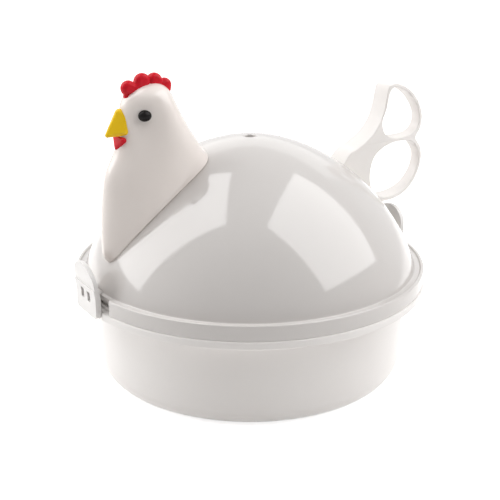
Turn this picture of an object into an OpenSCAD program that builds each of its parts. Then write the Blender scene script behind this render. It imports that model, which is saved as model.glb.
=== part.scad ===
// Hen-shaped steam egg cooker for a microwave oven.
// A round plastic base holds water under an aluminium tray with four egg cups.
// A plastic dome with an aluminium liner covers them, held down by two rim clips.
// The head and the tail handle are separate mouldings screwed on from inside the dome.
// The origin is at the centre of the base's underside, +Z is up and the head looks along -X.

/* [Base bowl] */
// Height from the table to the top face of the flange
base_h = 44; // [38:0.5:54]
// Width of the flange, from the bowl's wall to the flange's edge
flange_w = 8.7; // [8.4:0.1:11]
// Thickness of the flange
flange_t = 3.5; // [3.2:0.1:4.5]
// Thickness of the bowl's wall
bowl_wall = 2.4; // [1.8:0.1:3]
// Thickness of the bowl's floor
floor_t = 2.6; // [2:0.1:4]
// Radius of the rounded corner between floor and wall
corner_r = 8; // [5:0.5:11]
// How much narrower the wall is at the corner than under the flange
wall_draft = 1.2; // [0:0.1:3]
// Height of the lip that centres the lid
lip_h = 1.6; // [1:0.1:2.4]
// Height of the water line bead above the floor
water_line_h = 9; // [7:0.5:12]
// Radius of the groove ring moulded under the floor
foot_groove_r = 54; // [40:1:58]

/* [Lid] */
// Outer radius of the lid's rim band
rim_r = 80; // [76:0.5:90]
// Height of the rim band
band_h = 6.8; // [6.2:0.1:9]
// How far the flange of the base stands out past the band
flange_step = 0.5; // [0:0.1:1.5]
// Width of the ledge between the dome's foot and the band's edge
ledge_w = 4.1; // [4:0.1:5]
// Height of the dome above the ledge
dome_h = 59; // [54:0.5:66]
// Depth below the ledge at which the dome's curve would stand upright
dome_drop = 16; // [8:1:24]
// Fullness of the dome's curve, where 2 is an ellipse
dome_full = 1.8; // [1.7:0.05:2.1]
// Thickness of the lid's wall
lid_wall = 2.2; // [1.6:0.1:2.6]
// Height of the bead on the edge of the ledge
bead_h = 0.8; // [0.4:0.1:1.2]
// Radius of the steam vent at the top
vent_r = 2.6; // [2:0.1:3.5]

/* [Aluminium liner and tray] */
// Gap between the lid's wall and the liner
liner_gap = 3; // [2.6:0.1:3.6]
// Thickness of the liner's sheet
liner_t = 1; // [0.6:0.1:1.2]
// Thickness of the tray's sheet
tray_t = 1.2; // [0.8:0.1:1.4]
// Radius of the ball shape that forms an egg cup
cup_ball_r = 24; // [22:0.5:26]
// Depth of an egg cup below the tray
cup_depth = 16; // [12:0.5:20]
// Gap between an egg cup's mouth and the bowl's wall
cup_wall_gap = 8.8; // [6:0.2:10]
// Radius at which the sheet turns down into an egg cup
mouth_round = 3; // [2:0.1:3.4]
// Radius of the steam holes
steam_hole_r = 2.5; // [1.5:0.1:3.5]
// Radius of the finger hole in the middle of the tray
finger_hole_r = 8; // [7:0.5:9]

/* [Head] */
// Distance of the chest's front in from the lid's edge
chest_inset = 6.8; // [5:0.2:12]
// Thickness of the head's wall
head_wall = 2; // [1.4:0.1:2.4]
// Thickness of the comb
comb_t = 4.8; // [3.6:0.1:6]
// Length of the eye along the head
eye_len = 5.8; // [4.5:0.1:7]
// Height of the eye
eye_h = 4.8; // [4:0.1:5.5]

/* [Tail handle] */
// Gap between a clip's top and the tail's lower loop
tail_clip_gap = 4; // [1:0.1:5.5]
// Width of the tail's strip at its stem
tail_w = 12; // [9:0.5:16]
// Width of the tail's strip at the far side of its loops
tail_end_w = 6; // [5:0.5:12]

/* [Clips] */
// Width of a clip
clip_w = 21.5; // [18:0.5:24]
// Thickness of a clip's plate
clip_t = 2.4; // [2:0.1:2.8]
// Height of a clip's thumb tab above the hinge pin
clip_h = 21.9; // [20:0.1:25]
// How far the thumb tab leans outward at its top
clip_lean = 2; // [0:0.1:4]
// Width of the knuckle and the nose
knuckle_w = 10; // [8:0.5:12]
// Radius of the hinge pin
pin_r = 1.2; // [1:0.05:1.4]
// Width of one hinge lug on the flange
lug_w = 3; // [2.5:0.1:4]
// Room on each side of a clip in its notch in the lid's band
notch_room = 4.3; // [3:0.1:7]
// Height of the thumb pad above the step on a clip's outer face
pad_h = 10.2; // [9:0.2:12]

/* [Hidden] */

// Clearances
seat_gap = 0.1;
slip = 0.3;
pin_play = 0.05;
peg_play = 0.1;
over = 1;

// Smoothness of round shapes
round_fn = 144;
small_fn = 40;
blend_fn = 24;
dome_steps = 26;
corner_steps = 8;
curve_steps = 4;
head_sides = 32;

// Levels of the base and the lid
flange_r = rim_r + flange_step;
bowl_r = flange_r - flange_w;
bowl_in_r = bowl_r - bowl_wall;
foot_r = bowl_r - wall_draft;
ledge_z = base_h + band_h - bead_h;
dome_r = rim_r - ledge_w;
apex_z = ledge_z + dome_h;

// Tray seat, lip and liner rim
rebate_r = bowl_r + 0.8;
rebate_d = tray_t + 0.4;
rebate_z = base_h - rebate_d;
tray_r = rebate_r - 0.4;
skirt_t = 2.2;
lip_in_r = dome_r + 0.4;
lip_out_r = rim_r - skirt_t - 0.4;
liner_rim_r = dome_r - lid_wall - 0.4;

// The dome's curve: (r / a)^n + ((z - zc) / b)^n = 1 in the plane of a radius
dome_zc = ledge_z - dome_drop;
dome_b = dome_h + dome_drop;
dome_a = dome_r / pow(1 - pow(dome_drop / dome_b, dome_full), 1 / dome_full);
dome_foot_t = asin(pow(dome_drop / dome_b, dome_full / 2));

// Height of the dome's outer surface at radius r
function dome_z(r) = dome_zc + dome_b * pow(1 - pow(r / dome_a, dome_full), 1 / dome_full);

// Radius of the dome's outer surface at height z
function dome_r_at(z) = dome_a * pow(1 - pow((z - dome_zc) / dome_b, dome_full), 1 / dome_full);

// Slope angle of the outward normal above the horizontal at point p = [r, z] on the curve
function dome_tilt(p) = atan2(
    pow((p[1] - dome_zc) / dome_b, dome_full - 1) / dome_b,
    pow(p[0] / dome_a, dome_full - 1) / dome_a
);

// A point on the dome's curve at parameter t, moved inward by a depth
function dome_pt(t, depth = 0) =
    let (
        p = [dome_a * pow(cos(t), 2 / dome_full), dome_zc + dome_b * pow(sin(t), 2 / dome_full)],
        n = dome_tilt(p)
    )
    [max(0, p[0] - depth * cos(n)), p[1] - depth * sin(n)];

// The curve from its foot to its top, moved inward by a depth
function dome_curve(depth = 0) = [
    for (i = [0:dome_steps])
        i == dome_steps
            ? [0, apex_z - depth]
            : dome_pt(dome_foot_t + (90 - dome_foot_t) * i / dome_steps, depth)
];

function reversed(list) = [for (i = [len(list) - 1:-1:0]) list[i]];

// One value of a smooth curve through four neighbouring values, at u from 0 to 1 between b and c
function smooth(a, b, c, d, u) =
    b + u * (c - a) / 2
    + u * u * (a - 2.5 * b + 2 * c - d / 2)
    + u * u * u * (1.5 * (b - c) + (d - a) / 2);

// A smooth closed outline through a list of points
function closed_curve(p) =
    let (n = len(p))
    [
        for (i = [0:n - 1], k = [0:curve_steps - 1])
            smooth(p[(i + n - 1) % n], p[i], p[(i + 1) % n], p[(i + 2) % n], k / curve_steps)
    ];

// A smooth open row of values through a list of rows
function open_curve(p, steps) =
    let (n = len(p))
    concat(
        [
            for (i = [0:n - 2], k = [0:steps - 1])
                smooth(p[max(i - 1, 0)], p[i], p[i + 1], p[min(i + 2, n - 1)], k / steps)
        ],
        [p[n - 1]]
    );

// The dome as a solid, grown by a margin, that cuts a seat into what stands on it
module dome_solid(grow = 0) {
    rotate_extrude($fn = round_fn)
        polygon(concat([[0, base_h]], [[dome_r + grow, base_h]], dome_curve(-grow)));
}

// Turns something that stands along +Z so that it stands square on the dome at radius r.
// side is -1 for the head's side and 1 for the tail's.
module on_dome(r, side) {
    p = [r, dome_z(r)];
    translate([side * p[0], 0, p[1]])
        rotate([0, side * (90 - dome_tilt(p)), 0])
            children();
}

// Base bowl

// Each hinge pin is moulded into the flange between two lugs, and its clip snaps onto it.
// The pin's centre in the plane of the hinge:
pin_x = rim_r - 2.7;
pin_z = base_h - flange_t / 2;
knuckle_r = 1.9;
lug_r = 2.1;
knuckle_room = 0.4;
lug_gap = 0.3;
lug_y = knuckle_w / 2 + lug_gap;
notch_half = clip_w / 2 + notch_room;
notch_round = 1.5;
catch_w = 1.6;
// Behind a clip's plate the flange is cut back this far outside the pin and beside the clip
recess_out = 1.4;
recess_side = 0.4;

module bowl_profile() {
    arc = [for (i = [0:corner_steps]) 90 * i / corner_steps];
    in_r = corner_r - bowl_wall;
    polygon(concat(
        [[0, 0]],
        [for (a = arc) [foot_r - corner_r + corner_r * sin(a), corner_r - corner_r * cos(a)]],
        [
            [bowl_r, base_h - flange_t], [flange_r - 0.4, base_h - flange_t],
            [flange_r, base_h - flange_t + 0.4], [flange_r, base_h - 0.4], [flange_r - 0.4, base_h],
            [lip_out_r, base_h], [lip_out_r, base_h + lip_h - 0.3],
            [lip_out_r - 0.3, base_h + lip_h], [lip_in_r, base_h + lip_h], [lip_in_r, base_h],
            [rebate_r, base_h], [rebate_r, rebate_z], [bowl_in_r, rebate_z]
        ],
        [
            for (a = reversed(arc))
                [foot_r - corner_r + in_r * sin(a), floor_t + in_r - in_r * cos(a)]
        ],
        [[0, floor_t]]
    ));
}

module water_line_bead() {
    z = floor_t + water_line_h;
    r = foot_r - bowl_wall + 0.6;
    rotate_extrude($fn = round_fn)
        polygon([[r, z - 1.2], [r - 1.3, z], [r, z + 0.6]]);
}

module hinge_lugs() {
    for (s = [-1, 1])
        translate([pin_x, s * (lug_y + lug_w / 2), pin_z])
            rotate([90, 0, 0])
                cylinder(r = lug_r, h = lug_w, center = true, $fn = small_fn);
}

module clip_recess() {
    translate([pin_x + recess_out, -clip_w / 2 - recess_side, base_h - flange_t - over])
        cube([flange_w, clip_w + 2 * recess_side, flange_t + 2 * over]);
}

module hinge_cuts() {
    translate([pin_x, 0, pin_z])
        rotate([90, 0, 0]) {
            cylinder(r = pin_r, h = 2 * (lug_y + lug_w), center = true, $fn = small_fn);
            cylinder(r = knuckle_r + knuckle_room, h = 2 * lug_y, center = true, $fn = small_fn);
        }
}

module base_bowl() {
    color("white")
        difference() {
            union() {
                difference() {
                    rotate_extrude($fn = round_fn)
                        bowl_profile();
                    clip_recess();
                    mirror([1, 0, 0])
                        clip_recess();
                }
                water_line_bead();
                hinge_lugs();
                mirror([1, 0, 0])
                    hinge_lugs();
            }
            hinge_cuts();
            mirror([1, 0, 0])
                hinge_cuts();
            rotate_extrude($fn = round_fn)
                polygon([
                    [foot_groove_r - 1.5, -over], [foot_groove_r + 1.5, -over],
                    [foot_groove_r + 1, 0.6], [foot_groove_r - 1, 0.6]
                ]);
        }
}

// Egg tray

// A cup is a ball pressed into the sheet. Its centre lies above the tray's face, and the sheet
// turns down into it round a circle that touches the face and the ball.
cup_mouth_r = sqrt(pow(cup_ball_r, 2) - pow(cup_ball_r - cup_depth, 2));
cup_ring_r = bowl_in_r - cup_wall_gap - cup_mouth_r;
cup_angles = [45, 135, 225, 315];
cup_in_r = cup_ball_r - tray_t;
cup_up = cup_ball_r - cup_depth;
turn_x = sqrt(pow(cup_in_r + mouth_round, 2) - pow(cup_up + mouth_round, 2));
turn_angle = atan2(cup_up + mouth_round, turn_x);
cup_steps = 10;
turn_steps = 5;

// One face of a pressed cup as [radius, height], from its lowest point out to the tray's face
function cup_face(ball_r, turn_r) = concat(
    [
        for (i = [0:cup_steps])
            let (a = -90 + (90 - turn_angle) * i / cup_steps)
            [ball_r * cos(a), cup_up + ball_r * sin(a)]
    ],
    [
        for (i = [1:turn_steps])
            let (a = 180 - turn_angle - (90 - turn_angle) * i / turn_steps)
            [turn_x + turn_r * cos(a), turn_r * sin(a) - mouth_round]
    ]
);

module pressed_cup() {
    translate([cup_ring_r, 0, rebate_z + tray_t])
        rotate_extrude($fn = 96)
            polygon(concat(
                cup_face(cup_in_r, mouth_round),
                reversed(cup_face(cup_ball_r, mouth_round - tray_t))
            ));
}

module egg_tray() {
    color("silver")
        difference() {
            union() {
                difference() {
                    translate([0, 0, rebate_z])
                        cylinder(r = tray_r, h = tray_t, $fn = round_fn);
                    for (a = cup_angles)
                        rotate([0, 0, a])
                            translate([cup_ring_r, 0, 0])
                                cylinder(r = turn_x, h = base_h, $fn = 96);
                }
                for (a = cup_angles)
                    rotate([0, 0, a])
                        pressed_cup();
                translate([0, 0, rebate_z - 2])
                    cylinder(r = finger_hole_r + tray_t, h = 2 + tray_t, $fn = small_fn);
            }
            for (a = cup_angles)
                rotate([0, 0, a]) {
                    translate([cup_ring_r, 0, 0])
                        cylinder(r = steam_hole_r, h = base_h, $fn = small_fn);
                    rotate([0, 0, 45])
                        translate([cup_ring_r + cup_mouth_r / 2, 0, 0])
                            cylinder(r = steam_hole_r, h = base_h, $fn = small_fn);
                }
            cylinder(r = finger_hole_r, h = base_h, $fn = small_fn);
        }
}

// Lid

vent_tube_r = vent_r + 1.3;
vent_seat_r = vent_r + 3;
liner_top_z = apex_z - lid_wall - liner_gap;
retainer_t = 0.8;
retainer_r = vent_tube_r + 3.2;
retainer_z = dome_z(retainer_r) - lid_wall - liner_gap - liner_t - seat_gap - retainer_t;

module lid_profile() {
    curve_out = dome_curve();
    curve_in = reversed(dome_curve(lid_wall));
    polygon(concat(
        curve_out,
        curve_in,
        [
            [dome_r - lid_wall, base_h + slip], [dome_r, base_h + slip],
            [dome_r, ledge_z - lid_wall], [rim_r - skirt_t, ledge_z - lid_wall],
            [rim_r - skirt_t, base_h], [rim_r, base_h],
            [rim_r, base_h + band_h - 0.5], [rim_r - 0.5, base_h + band_h],
            [rim_r - 1.2, base_h + band_h], [rim_r - 1.7, ledge_z]
        ]
    ));
}

// The gap in the band at a clip. The band's ends are rounded towards the clip.
module clip_notch() {
    end_x = sqrt(pow(rim_r, 2) - pow(notch_half, 2)) - notch_round;
    difference() {
        translate([0, 0, base_h - over])
            linear_extrude(band_h + 2 * over)
                union() {
                    translate([dome_r - 6, -notch_half])
                        square([rim_r - dome_r + 6 + over, 2 * notch_half]);
                    for (s = [-1, 1])
                        difference() {
                            translate([end_x, s * (notch_half + notch_round / 2) - notch_round / 2 - 0.05])
                                square([2 * notch_round + over, notch_round + 0.1]);
                            translate([end_x, s * (notch_half + notch_round)])
                                circle(r = notch_round, $fn = small_fn);
                        }
                }
        cylinder(r = dome_r + catch_w, h = apex_z, $fn = round_fn);
    }
}

module screw_hole(r, side) {
    on_dome(r, side)
        cylinder(r = screw_r + 0.3, h = 4 * lid_wall, center = true, $fn = small_fn);
}

module lid_dome() {
    color("white")
        difference() {
            union() {
                rotate_extrude($fn = round_fn)
                    lid_profile();
                translate([0, 0, liner_top_z])
                    cylinder(r = vent_seat_r, h = liner_gap + lid_wall / 2, $fn = small_fn);
                translate([0, 0, retainer_z - 0.3])
                    cylinder(r = vent_tube_r, h = apex_z - lid_wall / 2 - retainer_z, $fn = small_fn);
            }
            translate([0, 0, liner_top_z - 10])
                cylinder(r = vent_r, h = 10 + apex_z, $fn = small_fn);
            clip_notch();
            mirror([1, 0, 0])
                clip_notch();
            for (r = head_screws)
                screw_hole(r, -1);
            for (r = tail_screws)
                screw_hole(r, 1);
        }
}

module dome_liner() {
    depth = lid_wall + liner_gap;
    foot_r = dome_curve(depth)[0][0];
    color("silver")
        difference() {
            rotate_extrude($fn = round_fn)
                polygon(concat(
                    dome_curve(depth),
                    reversed(dome_curve(depth + liner_t)),
                    [
                        [foot_r - liner_t, base_h], [liner_rim_r, base_h],
                        [liner_rim_r, base_h + liner_t], [foot_r, base_h + liner_t]
                    ]
                ));
            translate([0, 0, liner_top_z - 10])
                cylinder(r = vent_tube_r + peg_play, h = 20, $fn = small_fn);
        }
}

module liner_retainer() {
    color("silver")
        translate([0, 0, retainer_z])
            difference() {
                cylinder(r = retainer_r, h = retainer_t, $fn = small_fn);
                translate([0, 0, -over])
                    cylinder(r = vent_tube_r + pin_play, h = retainer_t + 2 * over, $fn = small_fn);
            }
}

// Screws that hold the head and the tail, driven from inside the dome

screw_r = 1.4;
screw_len = 4.5;
screw_head_r = 3;
screw_head_h = 1.5;
screw_seat = 0.2;

module screw(r, side) {
    color("silver")
        on_dome(r, side)
            translate([0, 0, -lid_wall]) {
                translate([0, 0, -screw_seat])
                    cylinder(r = screw_r, h = screw_seat + lid_wall + screw_len, $fn = small_fn);
                translate([0, 0, -screw_head_h - screw_seat])
                    cylinder(r = screw_head_r, h = screw_head_h, $fn = small_fn);
            }
}

// Head

// The head's side view as rows of [height, front, back, half width],
// with heights above the seat and lengths along X from the seat.
head_rows = [
    [-30, -20.5, 18, 7.8],
    [-28, -23.2, 18, 9.3],
    [-25.5, -24.8, 18, 10.6],
    [-22, -25.2, 18, 11.7],
    [-14, -25.2, 18, 13.2],
    [-5, -24.8, 20, 13.9],
    [4, -23.6, 22.7, 13.8],
    [11.5, -21.6, 25.7, 13.3],
    [19.5, -17.6, 20.9, 12.7],
    [26.5, -15.6, 16.2, 11.9],
    [33, -14.8, 12.6, 11.1],
    [39, -14, 9.6, 10],
    [43.2, -11.5, 7.7, 8.3],
    [46, -7, 4.9, 5.2],
    [47.7, -1.2, 0.8, 0.6]
];
chest_reach = -min([for (row = head_rows) row[1]]);
head_seat_r = rim_r - chest_inset - chest_reach;
head_screws = [head_seat_r - 12, head_seat_r + 13];
head_x = -head_seat_r;
head_z = dome_z(head_seat_r);
head_square = 2.05;
head_egg = 0.22;
head_fine = open_curve(head_rows, 2);
head_top_h = head_rows[len(head_rows) - 1][0];
boss_h = 9;
rib_t = 1.6;

// The point of a ring at angle a, for a row of the table moved inward by a depth.
// The ring is a rounded oval that is narrower at the chest than at the neck.
function head_point(row, a, depth) =
    let (
        mid = (row[1] + row[2]) / 2,
        len_x = max((row[2] - row[1]) / 2 - depth, 0.3),
        len_y = max(row[3] - depth, 0.3),
        c = cos(a),
        s = sin(a),
        k = 2 / head_square,
        along = sign(c) * pow(abs(c), k)
    )
    [
        mid + len_x * along,
        len_y * sign(s) * pow(abs(s), k) * (1 + head_egg * along),
        row[0] - depth * max(0, row[0] / head_top_h)
    ];

// The head's outer form as one closed skin, moved inward by a depth
module head_form(depth = 0, sink = 0) {
    n = head_sides;
    m = len(head_fine);
    rings = [
        for (row = head_fine, k = [0:n - 1])
            head_point(row, 360 * k / n, depth) - [0, 0, row == head_fine[0] ? sink : 0]
    ];
    sides = [
        for (j = [0:m - 2], k = [0:n - 1])
            each [
                [j * n + k, (j + 1) * n + k, (j + 1) * n + (k + 1) % n],
                [j * n + k, (j + 1) * n + (k + 1) % n, j * n + (k + 1) % n]
            ]
    ];
    bottom = [[for (k = [0:n - 1]) k]];
    top = [[for (k = [n - 1:-1:0]) (m - 1) * n + k]];
    translate([head_x, 0, head_z])
        polyhedron(points = rings, faces = concat(sides, bottom, top), convexity = 6);
}

// A thin web along the head's middle that stiffens the two screw bosses
module head_web() {
    front = [for (row = head_fine) [row[1] + head_wall / 2, row[0]]];
    back = [for (row = reversed(head_fine)) [row[2] - head_wall / 2, row[0]]];
    intersection() {
        translate([head_x, rib_t / 2, head_z])
            rotate([90, 0, 0])
                linear_extrude(rib_t)
                    polygon(concat(front, back));
        dome_solid(boss_h);
    }
}

// Where the eye's middle lies, from the head's seat
eye_x = -6.8;
eye_z = 35.2;
eye_y = 8.95;
eye_sink_y = eye_y - 1.6;
eye_peg_r = 1.2;
eye_peg_l = 4.8;
socket_r = 24;
socket_d = 1.3;
socket_drop = 2;

// Where the pegs of the comb, the beak and the wattle enter the head
comb_peg_x = [-5.5, 3];
comb_peg_z = 43;
comb_peg_r = 1.2;
comb_peg_l = 4;
beak_peg = [-16.5, 31.5];
beak_peg_r = 1.8;
wattle_peg = [-15.5, 23.6];
wattle_peg_r = 1.1;
peg_l = 7;

// The shallow dish round an eye, as the ball that presses it into the head
module eye_socket(side, shrink = 0) {
    translate([
        head_x + eye_x,
        side * (eye_y + socket_r - socket_d),
        head_z + eye_z - socket_drop
    ])
        sphere(r = socket_r - shrink, $fn = 48);
}

// The peg runs inward from the eye's middle. Its hole, with play, is open to both sides.
module eye_peg(side, play = 0) {
    extra = play > 0 ? 3 : 0;
    translate([head_x + eye_x, side * (eye_y + extra), head_z + eye_z])
        rotate([side * 90, 0, 0])
            cylinder(r = eye_peg_r + play, h = eye_peg_l + 2 * extra, $fn = small_fn);
}

module front_peg(at, r, play = 0) {
    extra = play > 0 ? over : 0;
    translate([head_x + at[0] - over - extra, 0, head_z + at[1]])
        rotate([0, 90, 0])
            cylinder(r = r + play, h = peg_l + over + 2 * extra, $fn = small_fn);
}

module comb_peg(x, play = 0) {
    drop = play > 0 ? over : 0;
    translate([head_x + x, 0, head_z + comb_peg_z - drop])
        cylinder(r = comb_peg_r + play, h = comb_peg_l + drop, $fn = small_fn);
}

module hen_head() {
    color("white")
        difference() {
            union() {
                difference() {
                    head_form();
                    difference() {
                        head_form(head_wall, over);
                        for (side = [-1, 1])
                            eye_socket(side, -head_wall);
                    }
                    for (side = [-1, 1])
                        eye_socket(side);
                }
                head_web();
                for (r = head_screws)
                    on_dome(r, -1)
                        cylinder(r = screw_r + 2, h = boss_h, $fn = small_fn);
            }
            dome_solid(seat_gap);
            for (r = head_screws)
                on_dome(r, -1)
                    cylinder(r = screw_r + pin_play, h = screw_len + over, $fn = small_fn);
            for (side = [-1, 1])
                eye_peg(side, peg_play);
            for (x = comb_peg_x)
                comb_peg(x, peg_play);
            front_peg(beak_peg, beak_peg_r, peg_play);
            front_peg(wattle_peg, wattle_peg_r, peg_play);
        }
}

// Lobes of the comb as [x, z, radius] and the body that carries them, from the head's seat
comb_lobes = [[-10.5, 45.8, 3.3], [-4.2, 48, 3.6], [1.4, 47.8, 3.5], [6, 45.7, 3.1]];
comb_body = [
    [-12.2, 41.6], [-12.8, 44.8], [-9, 48.2], [-2, 50.2], [4, 49.1], [8.8, 46], [7.8, 43.4], [0, 41]
];
comb_mid = [-1, 45.5];
comb_edge = 0.7;

module comb_outline(inset = 0) {
    for (l = comb_lobes)
        translate([l[0], l[1]])
            circle(r = l[2] - inset, $fn = small_fn);
    polygon([for (p = comb_body) p - inset * (p - comb_mid) / norm(p - comb_mid)]);
}

module comb() {
    color([0.76, 0.11, 0.17])
        union() {
            difference() {
                translate([head_x, 0, head_z])
                    rotate([90, 0, 0]) {
                        linear_extrude(comb_t, center = true)
                            comb_outline(comb_edge);
                        linear_extrude(comb_t - 2 * comb_edge, center = true)
                            comb_outline();
                    }
                head_form(-seat_gap);
            }
            for (x = comb_peg_x)
                comb_peg(x);
        }
}

// Balls as [x, y, z, radius] from the head's seat, round which the beak and the wattle are drawn
beak_balls = [
    [-20.7, 0, 27.2, 1], [-15, 0, 35.9, 1.9], [-13.8, 1.8, 34.2, 1.5], [-13.8, -1.8, 34.2, 1.5],
    [-14, 3, 28.8, 1.8], [-14, -3, 28.8, 1.8]
];
wattle_balls = [
    [-15.3, 3.8, 25.1, 1.2], [-15.3, -3.8, 25.1, 1.2], [-16.6, 0, 21.6, 1.1], [-12, 0, 24.3, 1.6]
];

module ball(p, r) {
    translate([head_x + p[0], p[1], head_z + p[2]])
        sphere(r = r, $fn = blend_fn);
}

module beak() {
    color([0.95, 0.82, 0.15])
        union() {
            difference() {
                hull()
                    for (b = beak_balls)
                        ball(b, b[3]);
                head_form(-seat_gap);
            }
            front_peg(beak_peg, beak_peg_r);
        }
}

module wattle() {
    color([0.72, 0.09, 0.15])
        union() {
            difference() {
                hull()
                    for (b = wattle_balls)
                        ball(b, b[3]);
                head_form(-seat_gap);
            }
            front_peg(wattle_peg, wattle_peg_r);
        }
}

module eye(side) {
    shift = (eye_len - eye_h) / 2;
    color([0.05, 0.05, 0.05])
        union() {
            intersection() {
                hull()
                    for (s = [-1, 1])
                        ball([eye_x + s * shift, side * eye_sink_y, eye_z], eye_h / 2);
                eye_socket(side, seat_gap);
            }
            eye_peg(side);
        }
}

// Tail handle

// The tail's lower loop ends this far below the tail's seat on the dome
tail_drop = 10.4;
tail_seat_z = pin_z + clip_h + tail_clip_gap + tail_drop;
tail_seat_r = dome_r_at(tail_seat_z);
tail_screws = [tail_seat_r - 8.5, tail_seat_r - 1];

// Outline of the strip and its two finger holes as [x, z] from the tail's seat
tail_outline = [
    [-15, 4], [-9, 15.4], [-2.7, 18.8], [5.2, 24.1], [10, 30.3], [12.3, 37.3], [13.9, 45.1],
    [16, 46.7], [20.6, 46.7], [28.3, 43], [33.8, 37.3], [37, 30.3], [36.5, 23.6], [33.7, 18.7],
    [37, 13.8], [38.1, 8.2], [36.6, 1.8], [32.4, -4.4], [26.9, -8.3], [20, -10.2],
    [13.7, -tail_drop], [6, -12], [-3, -8]
];
tail_upper_hole = [
    [11.2, 29.6], [13.3, 35], [15.4, 43.4], [19.5, 45.1], [27, 41.8], [32.3, 36.4], [35.3, 30],
    [34.6, 24.4], [30.8, 21.2], [24.7, 20.3], [18, 20.8], [12.8, 23.8]
];
tail_lower_hole = [
    [4.8, 6.8], [6.8, 12.6], [11, 16], [17.2, 18.2], [24.7, 18.5], [31.3, 17], [35.3, 12.3],
    [36.3, 8.2], [34.9, 2.3], [31, -3.3], [26, -6.6], [19.7, -8.3], [13.8, -8.2], [9.6, -6.6],
    [6.4, -3.6], [4.8, 1]
];

// Half the strip's width at lengths along X: it narrows a little up the stem and more in the loops
tail_half = [
    [-30, tail_w / 2], [0, tail_w / 2], [15, (2.7 * tail_w + tail_end_w) / 7.4],
    [38, tail_end_w / 2], [43, tail_end_w / 2]
];

module tail_plan() {
    polygon(concat(tail_half, reversed([for (p = tail_half) [p[0], -p[1]]])));
}

module tail_handle() {
    color("white")
        difference() {
            translate([tail_seat_r, 0, tail_seat_z])
                intersection() {
                    rotate([90, 0, 0])
                        linear_extrude(tail_w + 2, center = true)
                            difference() {
                                polygon(closed_curve(tail_outline));
                                polygon(closed_curve(tail_upper_hole));
                                polygon(closed_curve(tail_lower_hole));
                            }
                    translate([0, 0, -30])
                        linear_extrude(100)
                            tail_plan();
                }
            dome_solid(seat_gap);
            for (r = tail_screws)
                on_dome(r, 1)
                    cylinder(r = screw_r + pin_play, h = screw_len + 0.4, $fn = small_fn);
        }
}

// Clips

nose_tip_x = dome_r + 0.4;
nose_z = ledge_z + 0.25;
nose_t = 2.4;
plate_x = pin_x + lug_r + slip;
foot_z = pin_z - 1.45;
foot_round = 2.5;
bend_z = ledge_z;
clip_top_z = pin_z + clip_h;
tab_round_h = 9;
pad_sink = 0.5;
web_half_h = 1;
snap_slot = 1.8;

// Two windows below the nose run on into it as pockets, so that the nose has no thick middle
window_y = 3.3;
window_w = 3;
window_h = 4.4;
window_drop = 3.1;
window_d = 3.6;

// The clip's section across the rim, in the plane of a radius
module clip_side() {
    lean = clip_lean / (clip_top_z - bend_z);
    step_z = clip_top_z - pad_h;
    step_x = plate_x + lean * (step_z - bend_z);
    polygon([
        [plate_x, foot_z], [plate_x, bend_z], [plate_x + clip_lean, clip_top_z],
        [plate_x + clip_lean + clip_t - pad_sink, clip_top_z],
        [step_x + clip_t - pad_sink, step_z], [step_x + clip_t, step_z],
        [plate_x + clip_t, bend_z], [plate_x + clip_t, foot_z]
    ]);
}

// The clip's outline seen from outside, along a radius
module clip_face() {
    tab_z = clip_top_z - tab_round_h;
    round_top = [
        for (a = [0:7.5:180])
            [clip_w / 2 * cos(a), tab_z + tab_round_h * sin(a)]
    ];
    round_foot = [
        for (s = [-1, 1], i = [0:4])
            let (a = s < 0 ? 180 + 22.5 * i : 270 + 22.5 * i)
            [
                s * (clip_w / 2 - foot_round) + foot_round * cos(a),
                foot_z + foot_round + foot_round * sin(a)
            ]
    ];
    polygon(concat(round_top, round_foot));
}

module clip() {
    color("white")
        difference() {
            union() {
                intersection() {
                    rotate([90, 0, 0])
                        linear_extrude(clip_w + 2, center = true)
                            clip_side();
                    translate([pin_x - 10, 0, 0])
                        rotate([90, 0, 90])
                            linear_extrude(20)
                                clip_face();
                }
                translate([pin_x, 0, pin_z])
                    rotate([90, 0, 0])
                        cylinder(r = knuckle_r, h = knuckle_w, center = true, $fn = small_fn);
                translate([pin_x, -knuckle_w / 2, pin_z - web_half_h])
                    cube([plate_x + clip_t / 2 - pin_x, knuckle_w, 2 * web_half_h]);
                rotate([90, 0, 0])
                    linear_extrude(knuckle_w, center = true)
                        polygon([
                            [nose_tip_x, nose_z], [plate_x + clip_t / 2, nose_z],
                            [plate_x + clip_t / 2, nose_z + nose_t + 1.5],
                            [plate_x, nose_z + nose_t + 1.5], [nose_tip_x, nose_z + 0.9]
                        ]);
            }
            translate([pin_x, 0, pin_z])
                rotate([90, 0, 0])
                    cylinder(r = pin_r + pin_play, h = clip_w + 2, center = true, $fn = small_fn);
            translate([pin_x - knuckle_r - over, -knuckle_w, pin_z - snap_slot / 2])
                cube([knuckle_r + over, 2 * knuckle_w, snap_slot]);
            for (s = [-1, 1])
                translate([
                    plate_x + clip_t - window_d,
                    s * window_y - window_w / 2,
                    nose_z - window_drop
                ])
                    cube([window_d + over, window_w, window_h]);
        }
}

module hinge_pin() {
    color("silver")
        translate([pin_x, 0, pin_z])
            rotate([90, 0, 0])
                cylinder(r = pin_r, h = 2 * (lug_y + lug_w), center = true, $fn = small_fn);
}

base_bowl();
egg_tray();
mirror([1, 0, 0]) hinge_pin();  // front_hinge_pin
hinge_pin();  // rear_hinge_pin
mirror([1, 0, 0]) clip();  // front_clip
clip();  // rear_clip
lid_dome();
dome_liner();
liner_retainer();
hen_head();
comb();
beak();
wattle();
eye(-1);  // left_eye
eye(1);  // right_eye
tail_handle();
screw(head_screws[1], -1);  // head_screw_front
screw(head_screws[0], -1);  // head_screw_rear
screw(tail_screws[0], 1);  // tail_screw_upper
screw(tail_screws[1], 1);  // tail_screw_lower
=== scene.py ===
import math

import bmesh
import bpy
import numpy as np
from mathutils import Matrix, Vector
from mathutils.geometry import tessellate_polygon


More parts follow.
